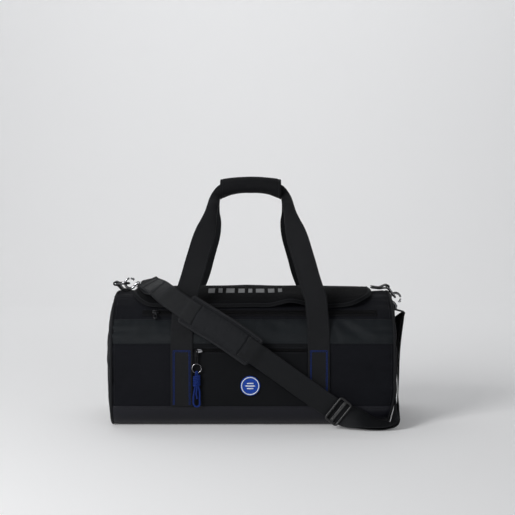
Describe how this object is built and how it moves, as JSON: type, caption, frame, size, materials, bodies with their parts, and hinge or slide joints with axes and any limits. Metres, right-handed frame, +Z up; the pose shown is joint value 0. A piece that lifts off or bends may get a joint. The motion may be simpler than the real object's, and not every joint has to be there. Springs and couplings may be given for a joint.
{
  "type": "duffel bag",
  "caption": "Soft duffel bag with zipped lid flap, front zip pocket, twin webbing handles with padded grip and a detachable shoulder strap.",
  "frame": {"origin": "centre of the flat base, on the floor", "axes": "+Z up, the front with the pocket faces -Y, +X to the right seen from the front"},
  "size_m": [0.5596, 0.296, 0.4512],
  "materials": {
    "body_fabric": "dull plain-weave polyester, near black",
    "band_fabric": "fine smooth weave, slightly satin",
    "coated_base": "coated fabric with a fine grain, satin",
    "webbing": "ribbed polyester webbing, matt",
    "padding_fabric": "padded fabric, matt",
    "piping": "bias-bound cord",
    "zip_tape": "knitted tape with coil teeth",
    "nickel": "polished nickel plate",
    "black_hardware": "black, satin",
    "blue_cord": "braided cord, royal blue",
    "black_cord": "braided cord, black",
    "badge": "moulded rubbery plastic, blue and white",
    "board": "stiffener board"
  },
  "bodies": {
    "bag": {"back_band": "band_fabric", "back_left_webbing": "webbing", "back_panel": "body_fabric", "back_right_webbing": "webbing", "badge": "badge", "base_board": "board", "bottom_panel": "coated_base", "front_band": "band_fabric", "front_left_webbing": "webbing", "front_panel": "body_fabric", "front_right_webbing": "webbing", "left_end_panel": "body_fabric", "left_piping": "piping", "left_ring_tab": "webbing", "left_top_panel": "body_fabric", "main_zip_tape": "zip_tape", "pocket_facing": "body_fabric", "pocket_panel": "body_fabric", "pocket_zip_tape": "zip_tape", "right_end_panel": "body_fabric", "right_piping": "piping", "right_ring_tab": "webbing", "right_top_panel": "body_fabric"},
    "front_handle": {"front_handle": "webbing"},
    "back_handle": {"back_handle": "webbing", "grip_sleeve": "padding_fabric"},
    "grip_flap": {"grip_flap": "padding_fabric"},
    "lid": {"lid_panel": "body_fabric", "lid_hem": "body_fabric"},
    "main_slider": {"main_zip_slider": "nickel"},
    "main_pull": {"main_zip_pull": "nickel"},
    "pocket_slider": {"pocket_slider": "nickel"},
    "pocket_cord": {"pocket_pull_cord": "black_cord"},
    "ring": {"split_ring": "nickel"},
    "lanyard": {"lanyard": "blue_cord"},
    "strap": {"strap_left_run": "webbing", "shoulder_pad": "padding_fabric", "strap_front_run": "webbing", "strap_lower_run": "webbing", "strap_return_run": "webbing"},
    "buckle": {"strap_buckle": "black_hardware"},
    "left_hook": {"left_hook_body": "nickel", "left_hook_eye": "black_hardware"},
    "left_gate": {"left_hook_gate": "nickel"},
    "right_hook": {"right_hook_body": "nickel", "right_hook_eye": "black_hardware"},
    "right_gate": {"right_hook_gate": "nickel"},
    "left_d": {"left_d_ring": "nickel"},
    "right_d": {"right_d_ring": "nickel"}
  },
  "joints": [
    {"name": "front_handle_swing", "type": "hinge", "parent": "bag", "child": "front_handle", "pos_m": [0, -0.1085, 0.25], "axis": [1, 0, 0], "range_deg": [0, 110], "deforming": ["grip_flap", "strap_left_run", "shoulder_pad", "strap_front_run", "strap_lower_run", "strap_return_run"]},
    {"name": "back_handle_swing", "type": "hinge", "parent": "bag", "child": "back_handle", "pos_m": [0, 0.1085, 0.25], "axis": [-1, 0, 0], "range_deg": [0, 110], "deforming": ["grip_flap"]},
    {"name": "grip_flap_open", "type": "hinge", "parent": "back_handle", "child": "grip_flap", "pos_m": [0, 0, 0.4498], "axis": [-1, 0, 0], "range_deg": [0, 120], "deforming": ["grip_flap"]},
    {"name": "lid_open", "type": "hinge", "parent": "bag", "child": "lid", "pos_m": [0, 0.068, 0.2255], "axis": [-1, 0, 0], "range_deg": [0, 2]},
    {"name": "main_zip_slide", "type": "slide", "parent": "bag", "child": "main_slider", "axis": [1, 0, 0], "range_m": [0, 0.37]},
    {"name": "main_pull_swing", "type": "hinge", "parent": "main_slider", "child": "main_pull", "pos_m": [-0.172, -0.0978, 0.2034], "axis": [-1, 0, 0], "range_deg": [0, 60]},
    {"name": "pocket_zip_slide", "type": "slide", "parent": "bag", "child": "pocket_slider", "axis": [1, 0, 0], "range_m": [0, 0.185]},
    {"name": "pocket_cord_swing", "type": "hinge", "parent": "pocket_slider", "child": "pocket_cord", "pos_m": [-0.096, -0.1312, 0.1343], "axis": [-1, 0, 0], "range_deg": [0, 40]},
    {"name": "ring_swing", "type": "hinge", "parent": "pocket_cord", "child": "ring", "pos_m": [-0.096, -0.1312, 0.1162], "axis": [-1, 0, 0], "range_deg": [0, 35]},
    {"name": "lanyard_swing", "type": "hinge", "parent": "ring", "child": "lanyard", "pos_m": [-0.096, -0.1326, 0.0975], "axis": [-1, 0, 0], "range_deg": [0, 45]},
    {"name": "strap_swing", "type": "hinge", "parent": "bag", "child": "strap", "pos_m": [-0.231, 0, 0.25], "axis": [-0.9986, 0, 0.0524], "range_deg": [0, 38], "deforming": ["strap_left_run", "shoulder_pad", "strap_front_run", "strap_lower_run", "strap_return_run"]},
    {"name": "buckle_slide", "type": "slide", "parent": "strap", "child": "buckle", "axis": [0.8291, 0, -0.559], "range_m": [-0.1, 0]},
    {"name": "left_hook_swivel", "type": "hinge", "parent": "strap", "child": "left_hook", "pos_m": [-0.229, 0, 0.25], "axis": [1, 0, 0], "range_deg": [-15, 4]},
    {"name": "left_gate_open", "type": "hinge", "parent": "left_hook", "child": "left_gate", "pos_m": [-0.22172, 0, 0.25611], "axis": [0, -1, 0], "range_deg": [0, 22], "stiffness_Nm_per_rad": 0.02},
    {"name": "right_hook_swivel", "type": "hinge", "parent": "strap", "child": "right_hook", "pos_m": [0.2755, 0, 0.222], "axis": [0, 0, -1], "range_deg": [-15, 15]},
    {"name": "right_gate_open", "type": "hinge", "parent": "right_hook", "child": "right_gate", "pos_m": [0.28161, 0, 0.21472], "axis": [0, -1, 0], "range_deg": [0, 22], "stiffness_Nm_per_rad": 0.02},
    {"name": "left_d_rock", "type": "hinge", "parent": "bag", "child": "left_d", "pos_m": [-0.256, 0, 0.25], "axis": [0, 1, 0], "range_deg": [-5, 5]},
    {"name": "right_d_rock", "type": "hinge", "parent": "bag", "child": "right_d", "pos_m": [0.259, 0, 0.244], "axis": [0, 1, 0], "range_deg": [-5, 5]}
  ]
}
